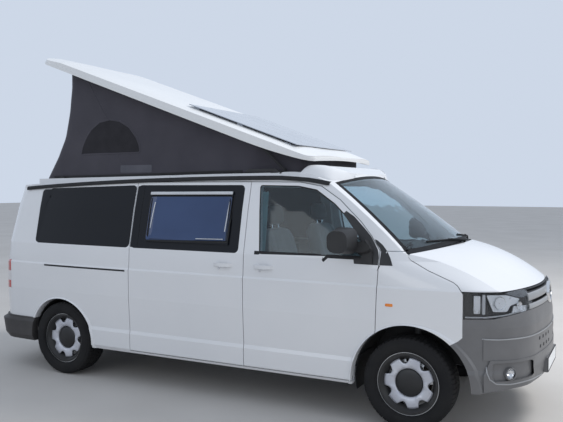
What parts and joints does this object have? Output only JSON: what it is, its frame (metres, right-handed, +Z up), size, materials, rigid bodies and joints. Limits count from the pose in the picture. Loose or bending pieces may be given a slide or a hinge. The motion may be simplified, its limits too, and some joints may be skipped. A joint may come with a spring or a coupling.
{
  "type": "camper van",
  "caption": "Long-wheelbase camper van with a pop roof raised at the rear, hinged cab doors, bonnet and tailgate, and steered front wheels.",
  "frame": {"origin": "on the ground midway between the two ends and sides of the van's bounding box", "axes": "+X forward, +Y to the van's left, +Z up"},
  "size_m": [5.2938, 2.296, 3.1205],
  "materials": {
    "white_paint": "gloss",
    "roof_shell": "gloss gel coat",
    "grey_bumper": "grained",
    "black_plastic": "grained",
    "black_metal": "satin",
    "clear_glass": "clear",
    "dark_glass": "privacy tint",
    "lamp_lens": "clear",
    "tail_lens": "gloss",
    "underbody": "satin",
    "tent_cloth": "coated weave",
    "solar_cells": "glossy film",
    "seat_cloth": "woven",
    "cabin_plastic": "grained",
    "furniture": "laminate",
    "tyre": "matte",
    "steel_wheel": "satin",
    "exhaust_steel": "dull",
    "cast_metal": "rough"
  },
  "bodies": {
    "body": {"body_side_right": "white_paint", "body_side_left": "white_paint", "roof_panel": "white_paint", "front_wings": "white_paint", "cowl": "black_plastic", "windscreen": "clear_glass", "side_windows": "dark_glass", "sliding_door": "white_paint", "sliding_door_window": "dark_glass", "front_bumper": "grey_bumper", "rear_bumper": "grey_bumper", "headlamps": "lamp_lens", "grille": "black_plastic", "tail_lamps": "tail_lens", "roof_rails": "black_plastic", "floor_pan": "underbody", "front_seats": "seat_cloth", "dashboard": "cabin_plastic", "rear_bench": "seat_cloth", "kitchen_unit": "furniture", "engine": "cast_metal", "exhaust": "exhaust_steel", "fuel_tank": "black_plastic", "rear_axle": "underbody", "wheel_liners": "black_plastic", "tent": "tent_cloth"},
    "bonnet": {"bonnet": "white_paint"},
    "door_right": {"front_door_right": "white_paint", "door_glass_right": "clear_glass", "mirror_right": "black_plastic"},
    "door_left": {"front_door_left": "white_paint", "door_glass_left": "clear_glass", "mirror_left": "black_plastic"},
    "tailgate": {"tailgate": "white_paint", "tailgate_glass": "dark_glass"},
    "roof_lever": {"roof_levers": "black_metal"},
    "pop_roof": {"pop_roof": "roof_shell", "solar_panel": "solar_cells"},
    "steering_wheel": {"steering_wheel": "cabin_plastic"},
    "knuckle_right": {"knuckle_right": "cast_metal"},
    "knuckle_left": {"knuckle_left": "cast_metal"},
    "wheel_front_right": {"tyre_front_right": "tyre", "wheel_front_right": "steel_wheel"},
    "wheel_front_left": {"tyre_front_left": "tyre", "wheel_front_left": "steel_wheel"},
    "wheel_rear_right": {"tyre_rear_right": "tyre", "wheel_rear_right": "steel_wheel"},
    "wheel_rear_left": {"tyre_rear_left": "tyre", "wheel_rear_left": "steel_wheel"}
  },
  "joints": [
    {"name": "bonnet_hinge", "type": "hinge", "parent": "body", "child": "bonnet", "pos_m": [1.706, 0, 1.314], "axis": [0, -1, 0], "range_deg": [0, 50]},
    {"name": "door_right_hinge", "type": "hinge", "parent": "body", "child": "door_right", "pos_m": [1.508, -0.962, 0.9], "axis": [0, 0, 1], "range_deg": [0, 70]},
    {"name": "door_left_hinge", "type": "hinge", "parent": "body", "child": "door_left", "pos_m": [1.508, 0.962, 0.9], "axis": [0, 0, -1], "range_deg": [0, 70]},
    {"name": "tailgate_hinge", "type": "hinge", "parent": "body", "child": "tailgate", "pos_m": [-2.458, 0, 1.818], "axis": [0, 1, 0], "range_deg": [0, 85]},
    {"name": "roof_lever_hinge", "type": "hinge", "parent": "body", "child": "roof_lever", "pos_m": [0.6175, 0, 1.938], "axis": [0, -1, 0], "range_deg": [0, 42.98], "deforming": ["tent"]},
    {"name": "pop_roof_hinge", "type": "hinge", "parent": "roof_lever", "child": "pop_roof", "pos_m": [0.3025, 0, 2.2219], "axis": [0, -1, 0], "range_deg": [-22.2, 0.1]},
    {"name": "steer_right", "type": "hinge", "parent": "body", "child": "knuckle_right", "pos_m": [1.752, -0.725, 0.25], "axis": [0, 0.204, 0.979], "range_deg": [-36, 36]},
    {"name": "steer_left", "type": "hinge", "parent": "body", "child": "knuckle_left", "pos_m": [1.752, 0.725, 0.25], "axis": [0, -0.204, 0.979], "range_deg": [-36.1, 36.1]},
    {"name": "steering_wheel_turn", "type": "hinge", "parent": "body", "child": "steering_wheel", "pos_m": [1.24, 0.47, 1.13], "axis": [-0.8192, 0, 0.5736], "range_deg": [-541, 541]},
    {"name": "roll_front_right", "type": "hinge", "parent": "knuckle_right", "child": "wheel_front_right", "pos_m": [1.752, -0.814, 0.345], "axis": [0, 1, 0], "continuous": true},
    {"name": "roll_front_left", "type": "hinge", "parent": "knuckle_left", "child": "wheel_front_left", "pos_m": [1.752, 0.814, 0.345], "axis": [0, 1, 0], "continuous": true},
    {"name": "roll_rear_right", "type": "hinge", "parent": "body", "child": "wheel_rear_right", "pos_m": [-1.648, -0.814, 0.345], "axis": [0, 1, 0], "continuous": true},
    {"name": "roll_rear_left", "type": "hinge", "parent": "body", "child": "wheel_rear_left", "pos_m": [-1.648, 0.814, 0.345], "axis": [0, 1, 0], "continuous": true}
  ],
  "couplings": [
    {"joint": "pop_roof_hinge", "follows": "roof_lever_hinge", "ratio": -0.51373},
    {"joint": "steer_left", "follows": "steer_right", "ratio": 1},
    {"joint": "steering_wheel_turn", "follows": "steer_right", "ratio": 15}
  ]
}
